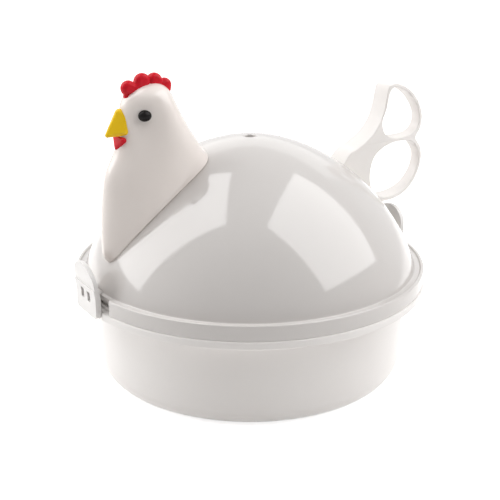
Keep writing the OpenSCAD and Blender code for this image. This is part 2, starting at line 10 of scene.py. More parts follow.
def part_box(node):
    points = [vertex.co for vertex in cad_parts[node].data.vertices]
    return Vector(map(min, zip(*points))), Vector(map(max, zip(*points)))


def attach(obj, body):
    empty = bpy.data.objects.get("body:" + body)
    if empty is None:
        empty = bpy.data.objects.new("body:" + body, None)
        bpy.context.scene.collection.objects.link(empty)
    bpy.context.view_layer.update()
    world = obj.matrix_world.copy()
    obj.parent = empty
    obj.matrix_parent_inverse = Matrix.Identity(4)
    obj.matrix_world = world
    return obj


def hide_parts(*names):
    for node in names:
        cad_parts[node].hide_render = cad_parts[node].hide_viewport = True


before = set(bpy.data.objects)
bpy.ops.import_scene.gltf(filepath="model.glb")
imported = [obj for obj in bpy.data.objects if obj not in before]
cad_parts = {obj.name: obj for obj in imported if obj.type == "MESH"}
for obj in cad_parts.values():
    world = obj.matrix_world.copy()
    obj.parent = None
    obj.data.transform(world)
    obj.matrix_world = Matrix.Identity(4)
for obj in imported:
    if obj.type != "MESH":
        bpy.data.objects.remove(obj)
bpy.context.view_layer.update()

# Base bowl
# The bowl holds the water and carries the tray and the lid. It is one injection moulding of
# satin white polypropylene, with a flange, a lip that centres the lid and split hinge lugs.
# Sizes are in millimetres until a mesh is made from them.

MM = 0.001
COLUMNS = 240
lip_h = 1.6
base_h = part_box("base_bowl")[1][2] / MM - lip_h
rim_r = 80
lip_out_r = rim_r - 2.6
lip_in_r = rim_r - 3.7
flange_r = rim_r + 0.5
flange_t = 3.5
bowl_r = 71.8
foot_r = 70.6
bowl_wall = 2.4
bowl_floor = 2.6
tray_seat_r = 72.6
tray_seat_z = base_h - 1.6
pin_x = rim_r - 2.7
pin_z = base_h - flange_t / 2
pin_r = 1.2
knuckle_room_r = 2.3
lug_r = 2.1
lug_w = 3
lug_y = 5.3
clip_half = 10.75


def rounded(corners, steps=6):
    """A line through corners [r, z, radius], each turned by an arc of its radius.

    Between its tangent points a and b an arc is the weighted mean of a, the corner and b, with
    the weights (1-t)^2, 2t(1-t)w and t^2, where w is the sine of half the corner's angle.
    """
    corners = np.asarray(corners, float)
    at, radius = corners[:, :2], corners[:, 2]
    sides = np.stack([np.roll(at, 1, 0) - at, np.roll(at, -1, 0) - at])
    sides /= np.maximum(np.linalg.norm(sides, axis=2, keepdims=True), 1e-9)
    half = np.arccos(np.clip((sides[0] * sides[1]).sum(1), -1, 1)) / 2
    reach = (radius / np.maximum(np.tan(half), 1e-6))[:, None]
    t = np.linspace(0, 1, steps + 1)[None, :, None]
    weights = ((1 - t) ** 2, 2 * t * (1 - t) * np.sin(half)[:, None, None], t ** 2)
    points = (at + sides[0] * reach, at, at + sides[1] * reach)
    line = sum(w * p[:, None] for w, p in zip(weights, points)) / sum(weights)
    line = line.reshape(-1, 2)
    apart = np.linalg.norm(np.diff(line, axis=0), axis=1) > 1e-5
    return line[np.append(True, apart)]


def turned(line, columns=COLUMNS):
    """A grid of points: the line [r, z] carried round the Z axis in equal steps."""
    a = np.linspace(0, 2 * np.pi, columns, endpoint=False)
    r, z = line[:, :1], line[:, 1:]
    return np.stack([r * np.cos(a), r * np.sin(a), z + 0 * a], -1)


def smooth_shading(piece, sharpest=math.radians(35)):
    """Shades the mesh smooth, apart from the edges that turn by more than an angle."""
    mesh = piece.data
    mesh.polygons.foreach_set("use_smooth", np.ones(len(mesh.polygons), bool))
    mesh.set_sharp_from_angle(angle=sharpest)


def grid_faces(rows, columns, ring=False, first=0):
    """Quads between neighbouring points of a grid, counted from a first point.

    The last column joins the first, and with ring the last row does too.
    """
    index = first + np.arange(rows * columns).reshape(rows, columns)
    index = np.hstack([index, index[:, :1]])
    if ring:
        index = np.vstack([index, index[:1]])
    quads = np.stack([index[:-1, :-1], index[:-1, 1:], index[1:, 1:], index[1:, :-1]], -1)
    return quads.reshape(-1, 4).tolist()


def new_piece(name, points, faces, place=None, merge=False):
    """A piece from points in millimetres, with its faces turned outwards."""
    mesh = bpy.data.meshes.new(name)
    mesh.from_pydata(points * MM, [], faces)
    if place is not None:
        mesh.transform(place)
    build = bmesh.new()
    build.from_mesh(mesh)
    if merge:
        bmesh.ops.remove_doubles(build, verts=build.verts, dist=1e-7)
        bmesh.ops.dissolve_degenerate(build, edges=build.edges, dist=1e-8)
    bmesh.ops.recalc_face_normals(build, faces=build.faces)
    build.to_mesh(mesh)
    build.free()
    piece = bpy.data.objects.new(name, mesh)
    bpy.context.scene.collection.objects.link(piece)
    smooth_shading(piece)
    return piece


def skin(name, grid, ring=False, place=None):
    """A piece over a grid of points. Doubles are merged, which closes the poles."""
    faces = grid_faces(*grid.shape[:2], ring)
    return new_piece(name, grid.reshape(-1, 3), faces, place, merge=True)


def moved(x=0, y=0, z=0):
    """A shift by millimetres as a matrix in metres."""
    return Matrix.Translation(Vector((x, y, z)) * MM)


def rod(radius, low, high, place, edge=0, columns=48):
    """A closed cylinder from low to high along Z, with its edges rounded, then placed."""
    line = rounded([[0, low, 0], [radius, low, edge], [radius, high, edge], [0, high, 0]], 4)
    return skin("rod", turned(line, columns), place=place)


def block(low, high):
    """A closed box between two corners."""
    low, high = np.array(low, float), np.array(high, float)
    share = np.array([[0, 0], [1, 0], [1, 1], [0, 1]])
    around = low[:2] + share * (high - low)[:2]
    middle = np.ones((4, 1)) * (low + high)[:2] / 2
    rows = [(middle, low[2]), (around, low[2]), (around, high[2]), (middle, high[2])]
    return skin("block", np.array([np.hstack([xy, 0 * xy[:, :1] + z]) for xy, z in rows]))


def carve(piece, tools, how="DIFFERENCE"):
    """Cuts closed tools out of a piece, or joins them to it, and leaves a plain mesh."""
    for tool in tools:
        step = piece.modifiers.new("carve", "BOOLEAN")
        step.object = tool
        step.operation = how
        step.solver = "EXACT"
    seen = piece.evaluated_get(bpy.context.evaluated_depsgraph_get())
    mesh = bpy.data.meshes.new_from_object(seen)
    piece.modifiers.clear()
    piece.data = mesh
    for tool in tools:
        bpy.data.objects.remove(tool)
    smooth_shading(piece)


def across(x, y, z):
    """Lays something that stands along Z along Y instead, at a point."""
    return moved(x, y, z) @ Matrix.Rotation(math.radians(90), 4, "X")


# From the groove under the foot up the outside, over the flange, the lip and the tray's seat, and
# down the inside past the bead that marks the water's level.
bead_z = bowl_floor + 9
bowl_line = rounded([
    [0, 0, 0], [52.5, 0, 0.3], [53, 0.6, 0.3], [55, 0.6, 0.3], [55.5, 0, 0.3],
    [foot_r - 0.3, 0, 8], [bowl_r, base_h - flange_t, 0.7],
    [flange_r, base_h - flange_t, 0.6], [flange_r, base_h, 0.6],
    [lip_out_r, base_h, 0.1], [lip_out_r, base_h + lip_h, 0.35],
    [lip_in_r, base_h + lip_h, 0.35], [lip_in_r, base_h, 0.1],
    [tray_seat_r, base_h, 0.4], [tray_seat_r, tray_seat_z, 0.15],
    [bowl_r - bowl_wall, tray_seat_z, 0.5],
    [foot_r - bowl_wall + 0.15, bead_z + 0.8, 0.4], [foot_r - bowl_wall - 0.9, bead_z, 0.3],
    [foot_r - bowl_wall + 0.1, bead_z - 1.4, 0.4],
    [foot_r - bowl_wall - 0.2, bowl_floor, 5.6], [0, bowl_floor, 0],
], 7)
bowl = skin("bowl_moulding", turned(bowl_line))
sides = (-1, 1)
recess_r = pin_x + 1.4
recess_half = clip_half + 0.4
carve(bowl, [
    block(np.minimum(near, far), np.maximum(near, far)) for near, far in (
        ([end * recess_r, -recess_half, base_h - flange_t - 1],
         [end * (flange_r + 3), recess_half, base_h + 1]) for end in sides)
])
lugs = [
    rod(lug_r, -lug_w / 2, lug_w / 2, across(end * pin_x, s * (lug_y + lug_w / 2), pin_z), 0.35)
    for end in sides for s in sides
]
carve(bowl, lugs, "UNION")
knuckle_room = (knuckle_room_r, lug_y + 0.01)
pin_bore = (pin_r + 0.02, lug_y + lug_w + 1)
hinge_cuts = [
    rod(r, -reach, reach, across(end * pin_x, 0, pin_z))
    for end in sides for r, reach in (knuckle_room, pin_bore)
]
carve(bowl, hinge_cuts)


def link(tree, kind, inputs=(), **settings):
    """Adds a shader node. An input takes a number or colour, or is wired to a socket."""
    node = tree.nodes.new(kind)
    for name, value in settings.items():
        setattr(node, name, value)
    for name, value in dict(inputs).items():
        if isinstance(value, bpy.types.NodeSocket):
            tree.links.new(value, node.inputs[name])
        else:
            node.inputs[name].default_value = value
    return node


def maths(tree, operation, *values):
    """The result of one calculation with numbers or sockets."""
    return link(tree, "ShaderNodeMath", dict(enumerate(values)), operation=operation).outputs[0]


def ramp(tree, value, low, high):
    """Zero up to the low value, one from the high value on, and straight in between."""
    spread = link(tree, "ShaderNodeMapRange", {"Value": value, "From Min": low, "From Max": high})
    return spread.outputs["Result"]


def blend(tree, share, first, second):
    """A mix of two colours. On this node, sockets 6, 7 and 2 are those for colours."""
    inputs = {0: share, 6: first, 7: second}
    return link(tree, "ShaderNodeMix", inputs, data_type="RGBA").outputs[2]


def shared_effect(name, inputs, outputs):
    """Starts a node group with named inputs and outputs, given as (name, kind, default)."""
    tree = bpy.data.node_groups.new(name, "ShaderNodeTree")
    for label, kind, default in inputs:
        socket = tree.interface.new_socket(label, in_out="INPUT", socket_type=kind)
        socket.default_value = default
    for label, kind in outputs:
        tree.interface.new_socket(label, in_out="OUTPUT", socket_type=kind)
    return tree, tree.nodes.new("NodeGroupInput"), tree.nodes.new("NodeGroupOutput")


FLOAT, COLOUR = "NodeSocketFloat", "NodeSocketColor"


def moulded_plastic_effect():
    """Tone, gloss and grain of moulded plastic.

    A broad noise mixes in the deep colour, as the plastic's flow and thickness do. A fine noise
    gives the grain of the mould, and a stretched one the hairlines of handling.
    """
    tree, given, put_out = shared_effect("moulded plastic", [
        ("Colour", COLOUR, (1, 1, 1, 1)), ("Deep colour", COLOUR, (1, 1, 1, 1)),
        ("Roughness", FLOAT, 0.3), ("Grain size", FLOAT, 900), ("Wear", FLOAT, 0.5),
    ], [("Colour", COLOUR), ("Roughness", FLOAT), ("Height", FLOAT)])
    at = link(tree, "ShaderNodeTexCoord").outputs["Object"]
    broad = link(tree, "ShaderNodeTexNoise", {"Vector": at, "Scale": 16, "Detail": 4})
    grain = link(tree, "ShaderNodeTexNoise", {"Vector": at, "Scale": given.outputs["Grain size"],
                                              "Detail": 3, "Roughness": 0.6}).outputs["Fac"]
    long_way = link(tree, "ShaderNodeMapping", {"Vector": at, "Rotation": (0.3, 0.2, 0.9),
                                                "Scale": (60, 900, 260)})
    hair = link(tree, "ShaderNodeTexNoise", {"Vector": long_way.outputs["Vector"], "Scale": 1,
                                             "Detail": 2})
    patch = link(tree, "ShaderNodeTexNoise", {"Vector": at, "Scale": 38, "Detail": 2})
    marks = maths(tree, "MULTIPLY", ramp(tree, hair.outputs["Fac"], 0.66, 0.72),
                  ramp(tree, patch.outputs["Fac"], 0.5, 0.68))
    worn = maths(tree, "MULTIPLY", marks, given.outputs["Wear"])
    edge = ramp(tree, link(tree, "ShaderNodeNewGeometry").outputs["Pointiness"], 0.53, 0.6)
    rubbed = maths(tree, "MULTIPLY", edge, given.outputs["Wear"])
    mixed = blend(tree, ramp(tree, broad.outputs["Fac"], 0.35, 0.7),
                  given.outputs["Colour"], given.outputs["Deep colour"])
    varied = maths(tree, "MULTIPLY_ADD", grain, 0.08, given.outputs["Roughness"])
    dulled = maths(tree, "MULTIPLY_ADD", worn, 0.2, varied)
    shined = maths(tree, "MULTIPLY_ADD", rubbed, -0.08, dulled)
    lowered = maths(tree, "MULTIPLY_ADD", worn, -0.5, grain)
    tree.links.new(mixed, put_out.inputs["Colour"])
    tree.links.new(shined, put_out.inputs["Roughness"])
    tree.links.new(lowered, put_out.inputs["Height"])
    return tree


moulded_plastic = moulded_plastic_effect()


def effect_material(name, effect, values, grain_depth):
    """A material with a shared effect in front of one shader, and that shader."""
    material = bpy.data.materials.new(name)
    material.use_nodes = True
    tree = material.node_tree
    shader = tree.nodes["Principled BSDF"]
    look = link(tree, "ShaderNodeGroup", values, node_tree=effect)
    bump = link(tree, "ShaderNodeBump", {"Height": look.outputs["Height"], "Strength": 1,
                                         "Distance": grain_depth})
    tree.links.new(look.outputs["Colour"], shader.inputs["Base Color"])
    tree.links.new(look.outputs["Roughness"], shader.inputs["Roughness"])
    tree.links.new(bump.outputs["Normal"], shader.inputs["Normal"])
    return material, shader


def plastic(name, colour, deep, roughness, grain_size, wear, grain_depth, ior=1.49, **sockets):
    """A plastic's material: the moulded effect in front of one shader.

    Other values of the shader are given by the socket's name.
    """
    material, shader = effect_material(name, moulded_plastic, {
        "Colour": (*colour, 1), "Deep colour": (*deep, 1), "Roughness": roughness,
        "Grain size": grain_size, "Wear": wear,
    }, grain_depth)
    shader.inputs["IOR"].default_value = ior
    for socket, value in sockets.items():
        shader.inputs[socket.replace("_", " ")].default_value = value
    return material


def dress(piece, material, body, slot, *nodes):
    """Gives a new piece its material, its body and the nodes it stands for. The slot, its finish's
    name, is not used.
    """
    piece.data.materials.clear()
    piece.data.materials.append(material)
    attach(piece, body)
    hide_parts(*nodes)


bowl_white = plastic("satin white polypropylene", (0.91, 0.885, 0.865), (0.89, 0.86, 0.84),
                     0.3, 1400, 0.5, 2e-5)
dress(bowl, bowl_white, "base", "bowl_plastic", "base_bowl")

# Egg tray
# The tray is pressed from one sheet of aluminium, with four cups, a turned-in finger hole and
# punched steam holes. It rests in the step of the bowl's rim.


def eased_copy(node, name, edge, sharpest=math.radians(28)):
    """A merged copy of a solid whose sharp edges are eased by a small bevel."""
    piece = bpy.data.objects.new(name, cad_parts[node].data.copy())
    bpy.context.scene.collection.objects.link(piece)
    build = bmesh.new()
    build.from_mesh(piece.data)
    bmesh.ops.remove_doubles(build, verts=build.verts, dist=1e-6)
    flat = math.radians(0.3)
    bmesh.ops.dissolve_limit(build, angle_limit=flat, verts=build.verts, edges=build.edges)
    build.to_mesh(piece.data)
    build.free()
    smooth_shading(piece)
    ease = piece.modifiers.new("eased edges", "BEVEL")
    ease.width = edge * MM
    ease.segments = 3
    ease.limit_method = "ANGLE"
    ease.angle_limit = sharpest
    ease.harden_normals = True
    return piece


def pressed_sheet_effect():
    """Tone, gloss and grain of rolled aluminium sheet.

    A noise stretched along the rolling direction gives the grain, and a broad one gives the
    cloudy tone that steam and washing leave.
    """
    tree, given, put_out = shared_effect("pressed sheet", [
        ("Colour", COLOUR, (1, 1, 1, 1)), ("Cloud colour", COLOUR, (1, 1, 1, 1)),
        ("Roughness", FLOAT, 0.35),
    ], [("Colour", COLOUR), ("Roughness", FLOAT), ("Height", FLOAT)])
    at = link(tree, "ShaderNodeTexCoord").outputs["Object"]
    rolled = link(tree, "ShaderNodeMapping", {"Vector": at, "Scale": (40, 1600, 1600)})
    grain = link(tree, "ShaderNodeTexNoise", {"Vector": rolled.outputs["Vector"], "Scale": 1,
                                              "Detail": 4}).outputs["Fac"]
    cloud = link(tree, "ShaderNodeTexNoise", {"Vector": at, "Scale": 45, "Detail": 5})
    haze = ramp(tree, cloud.outputs["Fac"], 0.4, 0.7)
    mixed = blend(tree, haze, given.outputs["Colour"], given.outputs["Cloud colour"])
    brushed = maths(tree, "MULTIPLY_ADD", grain, 0.15, given.outputs["Roughness"])
    hazed = maths(tree, "MULTIPLY_ADD", haze, 0.08, brushed)
    tree.links.new(mixed, put_out.inputs["Colour"])
    tree.links.new(hazed, put_out.inputs["Roughness"])
    tree.links.new(grain, put_out.inputs["Height"])
    return tree


pressed_sheet = pressed_sheet_effect()


def metal(name, colour, cloud, roughness, grain_depth):
    """A metal's material: the sheet's effect in front of a metallic shader."""
    material, shader = effect_material(name, pressed_sheet, {
        "Colour": (*colour, 1), "Cloud colour": (*cloud, 1), "Roughness": roughness,
    }, grain_depth)
    shader.inputs["Metallic"].default_value = 1
    return material


aluminium = metal("pressed satin aluminium", (0.6, 0.605, 0.615), (0.52, 0.53, 0.545), 0.32, 1e-5)
tray = eased_copy("egg_tray", "egg_tray_pressing", 0.25)
dress(tray, aluminium, "base", "aluminium_sheet", "egg_tray")

# Hinge pins and clips
# Each clip is a white moulding that snaps onto a pin moulded between two lugs of the flange. Its
# nose holds the lid's edge down, and its tab is pulled outwards with a thumb.


def colour_nodes(material, *nodes):
    """Gives a material to solids that are shown with the shape they have."""
    for node in nodes:
        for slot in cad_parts[node].material_slots:
            slot.material = material


clip_white = plastic("clip polypropylene", (0.82, 0.805, 0.79), (0.8, 0.785, 0.77),
                     0.32, 1400, 0.5, 2e-5)
colour_nodes(clip_white, "front_hinge_pin", "rear_hinge_pin")
for end in ("front", "rear"):
    clip = eased_copy(f"{end}_clip", f"{end}_clip_moulding", 0.3)
    dress(clip, clip_white, f"{end}_catch", "clip_plastic", f"{end}_clip")

# Lid
# The domed lid is one glossy white moulding with a rim band, a bead on the band's edge and a
# steam vent at the top. The band is open at both clips, and its ends are rounded there.

lid_wall = 2.2
ledge_z = base_h + 6
band_top = ledge_z + 0.8
dome_r = rim_r - 4.1
dome_a = 78.65
dome_b = 75
dome_mid = ledge_z - 16
dome_full = 1.8
apex_z = dome_mid + dome_b
vent_r = 2.6
vent_tube_r = 3.9
vent_seat_r = 5.6
band_in_r = rim_r - 2.2
band_low = base_h + 0.05
skirt_low = base_h + 0.3
tube_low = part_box("liner_retainer")[0][2] / MM - 0.3
liner_gap = 3
liner_top = apex_z - lid_wall - liner_gap


def dome_z(r):
    """Height of the dome at a radius: the curve is (r/a)^n + ((z - mid)/b)^n = 1."""
    inside = np.clip(1 - (np.minimum(r, dome_a) / dome_a) ** dome_full, 0, 1)
    return dome_mid + dome_b * inside ** (1 / dome_full)


def dome_tilt(r):
    """Angle of the dome's outward normal above the horizontal, from the curve's gradient."""
    z = dome_z(r)
    return np.arctan2(((z - dome_mid) / dome_b) ** (dome_full - 1) / dome_b,
                      (r / dome_a) ** (dome_full - 1) / dome_a)


def dome_line(inner_r, count, depth=0.0):
    """The dome's curve [r, z] from its foot in to a radius, moved inward by a depth.

    The points are spaced by equal steps of the angle t, where r = a cos(t)^(2/n).
    """
    def angle(r):
        return np.arccos((r / dome_a) ** (dome_full / 2))
    t = np.linspace(angle(dome_r), angle(inner_r), count)
    r = dome_a * np.cos(t) ** (2 / dome_full)
    tilt = dome_tilt(r)
    return np.stack([r - depth * np.cos(tilt), dome_z(r) - depth * np.sin(tilt)], -1)


def plain(line):
    """The points of a line as corners without a radius."""
    return np.hstack([line, np.zeros((len(line), 1))])


outside = plain(dome_line(vent_r + 0.7, 96))
inside = plain(dome_line(vent_seat_r + 0.3, 48, lid_wall))
inside = inside[inside[:, 0] > vent_seat_r]
outside[0, 2] = 0.5
inside[0, :2] = [dome_r - lid_wall, ledge_z]
lid_line = rounded(np.vstack([
    outside[::-1],
    [[rim_r - 1.75, ledge_z, 0.4], [rim_r - 1.3, band_top, 0.3], [rim_r, band_top, 0.55],
     [rim_r, band_low, 0.15], [band_in_r, band_low, 0.3],
     [band_in_r, ledge_z - lid_wall, 0.3], [dome_r, ledge_z - lid_wall, 0.3],
     [dome_r, skirt_low, 0.3], [dome_r - lid_wall, skirt_low, 0.3]],
    inside,
    [[vent_seat_r, inside[-1, 1], 0], [vent_seat_r, liner_top, 0.2],
     [vent_tube_r, liner_top, 0.2], [vent_tube_r, tube_low, 0.3],
     [vent_r, tube_low, 0.3], [vent_r, apex_z - 0.3, 0.6]],
]), 5)
lid = skin("lid_moulding", turned(lid_line), ring=True)

notch_half = 15.05
notch_round = 1.5
notch_reach_z = 5
ledge_end_r = dome_r + 1.6


def slab(name, outlines, half, edge, place, steps=5):
    """A plate between closed outlines: its rim, then its holes, with rounded edges.

    Each ring is its outline moved in along its normals by edge*(1 - sin(t)), at the height
    half - edge*(1 - cos(t)) for t from a quarter turn down to zero. The faces between the
    outermost rings close the plate on both sides. Without an edge it is a plain prism.
    """
    t = np.linspace(np.pi / 2, 0, steps + 1)
    inset = np.append(edge * (1 - np.sin(t)), edge * 1.15)
    height = np.append(half - edge * (1 - np.cos(t)), half)
    if edge == 0:
        inset, height = np.zeros(1), np.array([half])
    inset, height = np.append(inset[::-1], inset), np.append(height[::-1], -height)
    grids, loops, first = [], [], 0
    for outline in outlines:
        along = np.roll(outline, -1, 0) - np.roll(outline, 1, 0)
        normal = np.stack([along[:, 1], -along[:, 0]], -1)
        normal /= np.linalg.norm(normal, axis=1, keepdims=True)
        flat = outline[None] - normal[None] * inset[:, None, None]
        grids.append(np.stack([flat[..., 0], flat[..., 1], height[:, None] + 0 * flat[..., 0]], -1))
        loops.append(first + np.arange(len(outline)))
        first += len(height) * len(outline)
    faces = []
    for row in (0, len(height) - 1):
        flat = [[Vector((*point[:2], 0)) for point in grid[row]] for grid in grids]
        numbers = np.concatenate([loop + row * len(loop) for loop in loops])
        faces += [tuple(int(numbers[i]) for i in triangle) for triangle in tessellate_polygon(flat)]
    for loop in loops:
        faces += grid_faces(len(height), len(loop), first=loop[0])
    return new_piece(name, np.vstack([grid.reshape(-1, 3) for grid in grids]), faces, place)


def arc(x, y, radius, start, stop, count=14):
    """Points [x, y] on an arc, with its angles in degrees."""
    a = np.radians(np.linspace(start, stop, count))
    return np.stack([x + radius * np.cos(a), y + radius * np.sin(a)], -1)


end_x = math.sqrt(rim_r ** 2 - notch_half ** 2) - notch_round
side_y = notch_half + notch_round
inner = math.degrees(math.asin(notch_half / ledge_end_r))
notch_outline = np.vstack([
    arc(0, 0, ledge_end_r, inner, -inner, 40),
    arc(end_x, -side_y, notch_round, 90, 0),
    [[rim_r + 3, -side_y], [rim_r + 3, side_y]],
    arc(end_x, side_y, notch_round, 0, -90),
])
middle_z = (base_h + band_top) / 2
notches = [
    slab("notch", [notch_outline], notch_reach_z, 0,
         Matrix.Rotation(turn, 4, "Z") @ moved(z=middle_z))
    for turn in (0, math.pi)
]


def on_dome(r, side):
    """A place on the dome at a radius, towards the head (-1) or the tail (1), facing outwards."""
    lean = Matrix.Rotation(side * (math.pi / 2 - float(dome_tilt(r))), 4, "Y")
    return moved(side * r, 0, float(dome_z(r))) @ lean


head_seat_r = 48
tail_seat_z = 78.55
tail_seat_r = dome_a * (1 - ((tail_seat_z - dome_mid) / dome_b) ** dome_full) ** (1 / dome_full)
screw_hole_r = 1.7
screws = [
    (head_seat_r - 12, -1), (head_seat_r + 13, -1), (tail_seat_r - 8.5, 1), (tail_seat_r - 1, 1),
]
holes = [rod(screw_hole_r, -2 * lid_wall, 2 * lid_wall, on_dome(r, side)) for r, side in screws]
carve(lid, notches + holes)
lid_white = plastic("glossy white polypropylene", (0.64, 0.612, 0.592), (0.62, 0.59, 0.57),
                    0.05, 700, 0.4, 1e-5, ior=1.75)
dress(lid, lid_white, "lid", "dome_plastic", "lid_dome")

# Liner and its retainer
# A spun aluminium liner inside the lid keeps the microwaves off the eggs. It hangs on the vent
# tube, held by a pushed-on steel ring.

liner_depth = lid_wall + liner_gap
liner_t = 1.0
liner_hole_r = vent_tube_r + 0.1
liner_rim_r = dome_r - lid_wall - 0.4
liner_out = plain(dome_line(0.6, 90, liner_depth))
liner_in = plain(dome_line(0.6, 90, liner_depth + liner_t))
liner_out = liner_out[liner_out[:, 0] > liner_hole_r + 0.2]
liner_in = liner_in[liner_in[:, 0] > liner_hole_r + 0.2]
liner_foot = liner_out[0, 0]
liner_line = rounded(np.vstack([
    [[liner_hole_r, liner_out[-1, 1], 0]], liner_out[::-1],
    [[liner_foot, base_h + liner_t, 0.3], [liner_rim_r, base_h + liner_t, 0.3],
     [liner_rim_r, base_h, 0.3], [liner_foot - liner_t, base_h, 0.3]],
    liner_in,
    [[liner_hole_r, liner_in[-1, 1], 0]],
]), 4)
liner = skin("liner_spinning", turned(liner_line), ring=True)
dress(liner, aluminium, "lid", "aluminium_sheet", "dome_liner")
steel = metal("stainless steel", (0.62, 0.62, 0.63), (0.55, 0.55, 0.56), 0.25, 5e-6)
colour_nodes(steel, "liner_retainer")

# Hen's head
# The head and neck are one hollow moulding of soft white plastic. It is screwed onto the dome
# from inside, so its lower edge follows the dome, and a shallow dish surrounds each eye.

# Level sections of the head, from its seat: height, front, back and half width.
head_rows = np.array([
    [-30, -20.5, 18, 7.8], [-28, -23.2, 18, 9.3], [-25.5, -24.8, 18, 10.6],
    [-22, -25.2, 18, 11.7], [-14, -25.2, 18, 13.2], [-5, -24.8, 20, 13.9],
    [4, -23.6, 22.7, 13.8], [11.5, -21.6, 25.7, 13.3], [19.5, -17.6, 20.9, 12.7],
    [26.5, -15.6, 16.2, 11.9], [33, -14.8, 12.6, 11.1], [39, -14, 9.6, 10],
    [43.2, -11.5, 7.7, 8.3], [46, -7, 4.9, 5.2], [47.7, -1.2, 0.8, 0.6],
])
head_x = -head_seat_r
head_z = float(dome_z(head_seat_r))
head_square = 2.05
head_egg = 0.22
head_wall = 2.0
seat_gap = 0.1
eye_x = -6.8
eye_z = 35.2
dish_x = eye_x + 0.4
dish_z = eye_z - 1.5
dish_depth = 1.8


def between_rows(rows, t):
    """Smooth values between the rows of a table, at places t counted in rows.

    With the rows a, b, c, d round a place and u its share of the way from b to c, the value is
    b + u(c-a)/2 + u^2(a - 2.5b + 2c - d/2) + u^3(1.5(b-c) + (d-a)/2).
    """
    last = len(rows) - 1
    i = np.clip(np.floor(t).astype(int), 0, last - 1)
    u = (t - i)[..., None]
    a, b, c, d = (rows[np.clip(i + k, 0, last)] for k in (-1, 0, 1, 2))
    return (b + u * (c - a) / 2 + u ** 2 * (a - 2.5 * b + 2 * c - d / 2)
            + u ** 3 * (1.5 * (b - c) + (d - a) / 2))


def head_points(t, a, depth):
    """Points of the head at places t in its rows and angles a, moved inward by a depth.

    A level ring is an oval with |x|^n + |y|^n = 1, stretched to the row's front, back and half
    width, and narrower at the chest than at the neck.
    """
    height, front, back, half = np.moveaxis(between_rows(head_rows, t), -1, 0)
    long = np.maximum((back - front) / 2 - depth, 0.02)
    wide = np.maximum(half - depth, 0.02)
    c, s = np.cos(a), np.sin(a)
    along = np.sign(c) * np.abs(c) ** (2 / head_square)
    x = (front + back) / 2 + long * along
    y = wide * np.sign(s) * np.abs(s) ** (2 / head_square) * (1 + head_egg * along)
    z = height - depth * np.maximum(0, height / head_rows[-1, 0])
    return np.stack([head_x + x, y, head_z + z], -1)


def clear_of_dome(points):
    """Height of points above the dome, measured square to its surface."""
    r = np.hypot(points[..., 0], points[..., 1])
    return (points[..., 2] - dome_z(r)) * np.sin(dome_tilt(np.minimum(r, dome_r)))


def lower_edge(a, depth, gap):
    """Where each column of the head meets the dome, found by halving the rows in between."""
    low = np.zeros(len(a))
    high = np.full(len(a), len(head_rows) - 1.0)
    for _ in range(40):
        mid = (low + high) / 2
        under = clear_of_dome(head_points(mid, a, depth)) < gap
        low, high = np.where(under, mid, low), np.where(under, high, mid)
    return high


def eye_dish(points):
    """Presses a dish into both sides of the head: a hollow that dies away like exp(-d^2).

    Towards the face it is narrower and ends in a crisp edge, like exp(-d^4).
    """
    x = points[..., 0] - head_x - dish_x
    z = points[..., 2] - head_z - dish_z
    wide = np.where(x < 0, 4.8, 7.0)
    tall = np.where(z < 0, 11.0, 6.5)
    sunk = dish_depth * np.exp(-np.abs(x / wide) ** np.where(x < 0, 4, 2) - (z / tall) ** 2)
    near = np.clip(np.abs(points[..., 1]) / 4, 0, 1)
    points[..., 1] -= np.sign(points[..., 1]) * sunk * near
    return points


around = np.linspace(0, 2 * np.pi, 240, endpoint=False)
edge_round = 0.6
edge_t = lower_edge(around, 0, seat_gap)
up = np.concatenate([np.linspace(0, 0.06, 14, endpoint=False), np.linspace(0.06, 1, 130)])
t = edge_t + (len(head_rows) - 1 - edge_t) * up[:, None]
angle = around + 0 * t
short = np.clip(edge_round - (clear_of_dome(head_points(t, angle, 0)) - seat_gap), 0, edge_round)
turn_in = edge_round - np.sqrt(edge_round ** 2 - short ** 2)
outer_skin = eye_dish(head_points(t, angle, turn_in))
inner_t = lower_edge(around, head_wall, seat_gap)
down = np.linspace(1, 0, 60)[:, None]
inner_rows = inner_t + (len(head_rows) - 1.3 - inner_t) * down
inner_skin = eye_dish(head_points(inner_rows, around + 0 * inner_rows, head_wall))
inner_top = inner_skin[:1].mean(1, keepdims=True) + 0 * inner_skin[:1]
outer_top = outer_skin[-1:].mean(1, keepdims=True) + 0 * outer_skin[-1:]
head = skin("head_moulding", np.vstack([outer_skin, outer_top, inner_top, inner_skin]), ring=True)
head_white = plastic("soft white plastic", (0.88, 0.815, 0.77), (0.86, 0.79, 0.745),
                     0.14, 1100, 0.4, 1e-5, ior=1.7)
dress(head, head_white, "lid", "head_plastic", "hen_head")

# Comb
# The comb is a red moulding with four round lobes, pressed into the top of the head with two
# pegs. Its faces swell between the notches.

# Circles [x, z, radius] from the head's seat: four lobes, then four that fill the body under them.
comb_half = 2.4
comb_lobes = np.array([
    [-10.5, 45.8, 3.3], [-4.2, 48, 3.6], [1.4, 47.8, 3.5], [6, 45.7, 3.1],
    [-11.2, 42.4, 1.5], [-5.5, 44.5, 4.4], [1.5, 44.5, 4.4], [7, 44, 1.8],
])
comb_middle = np.array([-2.2, 43.4])


def lobe_depth(x, z):
    """Depth of a point inside the union of the lobes, with the notches slightly filled."""
    inside = comb_lobes[:, 2] - np.hypot(x[..., None] - comb_lobes[:, 0],
                                         z[..., None] - comb_lobes[:, 1])
    sharp = 5.0
    return np.log(np.exp(sharp * inside).sum(-1)) / sharp


def lobe_ring(a, depth):
    """Distance from the comb's middle, along each angle, to the last point at a depth."""
    far = np.linspace(0, 20, 1600)
    x = comb_middle[0] + far * np.cos(a)[:, None]
    z = comb_middle[1] + far * np.sin(a)[:, None]
    deep = lobe_depth(x, z) > depth
    return far[np.where(deep.any(1), deep.shape[1] - 1 - deep[:, ::-1].argmax(1), 0)]


